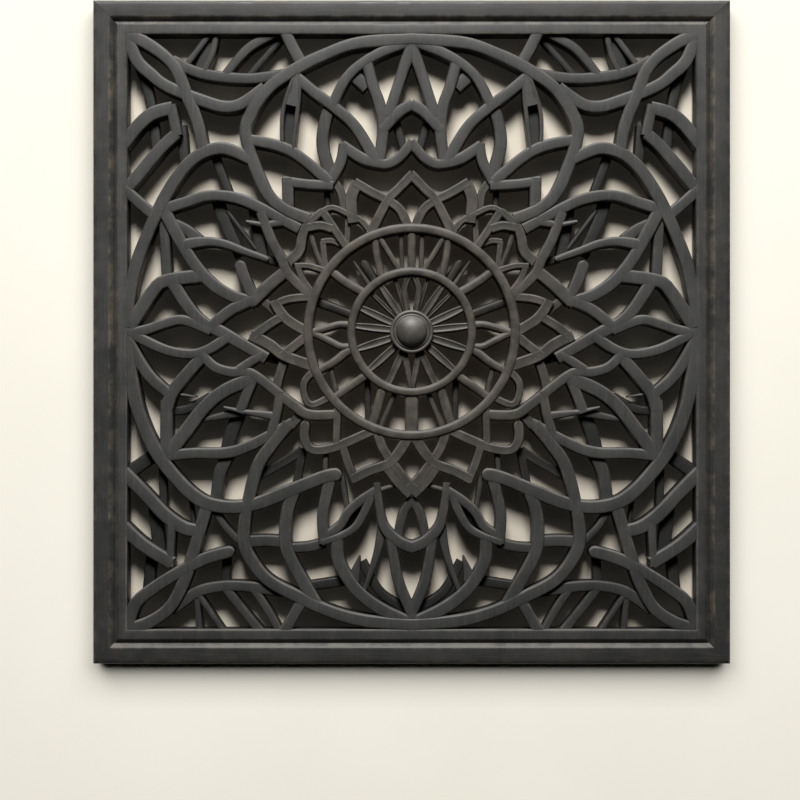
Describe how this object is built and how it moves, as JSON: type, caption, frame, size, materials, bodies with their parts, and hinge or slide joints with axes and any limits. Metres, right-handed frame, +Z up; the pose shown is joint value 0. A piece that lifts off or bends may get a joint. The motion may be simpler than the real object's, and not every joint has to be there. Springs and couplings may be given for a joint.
{
  "type": "mashrabiya screen",
  "caption": "Pierced, carved wooden wall screen: interlaced straps and a ringed rosette with a turned boss, in a mitred frame, to hang flat on a wall.",
  "frame": {"origin": "middle of the top rail's back face, which lies against the wall", "axes": "+Z up the screen, +Y into the wall, +X to the right as seen from the front"},
  "size_m": [0.6, 0.036, 0.625],
  "materials": {
    "carved_wood": "charcoal paint, worn to brown wood on the edges",
    "frame_wood": "charcoal paint, worn to tan wood along the groove",
    "boss_wood": "charcoal paint, rubbed"
  },
  "bodies": {
    "root": {"carved_panel": "carved_wood", "frame_rail_top": "frame_wood", "frame_rail_bottom": "frame_wood", "frame_stile_left": "frame_wood", "frame_stile_right": "frame_wood", "centre_boss": "boss_wood"}
  },
  "joints": []
}
